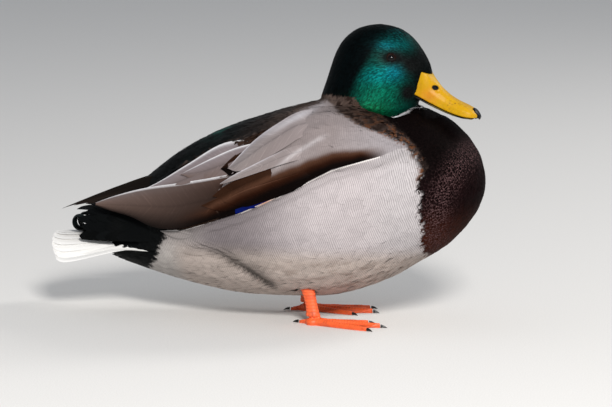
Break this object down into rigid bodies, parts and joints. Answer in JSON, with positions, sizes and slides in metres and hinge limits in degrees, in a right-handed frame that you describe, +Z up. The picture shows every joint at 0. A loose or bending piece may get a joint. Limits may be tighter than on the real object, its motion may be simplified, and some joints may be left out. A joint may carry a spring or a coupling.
{
  "type": "mallard drake, still life-size model",
  "caption": "Life-size mallard drake standing low on webbed feet, neck drawn in, wings folded over the rump, with a short tail and curled tail coverts; one rigid piece.",
  "frame": {"origin": "on the floor plane, under the middle of the bird's bounding box", "axes": "+X forward, the way the bill points; +Y to the bird's left; +Z up"},
  "size_m": [0.357, 0.1542, 0.2372],
  "materials": {
    "head_plumage": "iridescent green feathers",
    "breast_plumage": "dark chestnut feathers",
    "body_plumage": "pale grey finely barred feathers",
    "scapular_plumage": "warm grey feathers",
    "wing_plumage": "grey-brown feathers",
    "flight_quills": "dark brown quills",
    "rump_plumage": "black glossy feathers",
    "tail_plumage": "white tail feathers",
    "bill_horn": "satin yellow horn",
    "nail_horn": "black satin horn",
    "eye": "wet dark brown",
    "leg_skin": "orange-red scaled skin"
  },
  "bodies": {
    "root": {"head": "head_plumage", "neck": "head_plumage", "breast": "breast_plumage", "trunk": "body_plumage", "rump": "rump_plumage", "tail": "tail_plumage", "bill_upper": "bill_horn", "bill_lower": "bill_horn", "bill_nail": "nail_horn", "eye_left": "eye", "scapulars_left": "scapular_plumage", "wing_left": "wing_plumage", "primaries_left": "flight_quills", "tail_curl_left": "rump_plumage", "leg_left": "leg_skin", "foot_left": "leg_skin", "claw_left_1": "nail_horn", "claw_left_2": "nail_horn", "claw_left_3": "nail_horn", "claw_left_4": "nail_horn", "eye_right": "eye", "scapulars_right": "scapular_plumage", "wing_right": "wing_plumage", "primaries_right": "flight_quills", "tail_curl_right": "rump_plumage", "leg_right": "leg_skin", "foot_right": "leg_skin", "claw_right_1": "nail_horn", "claw_right_2": "nail_horn", "claw_right_3": "nail_horn", "claw_right_4": "nail_horn"}
  },
  "joints": []
}
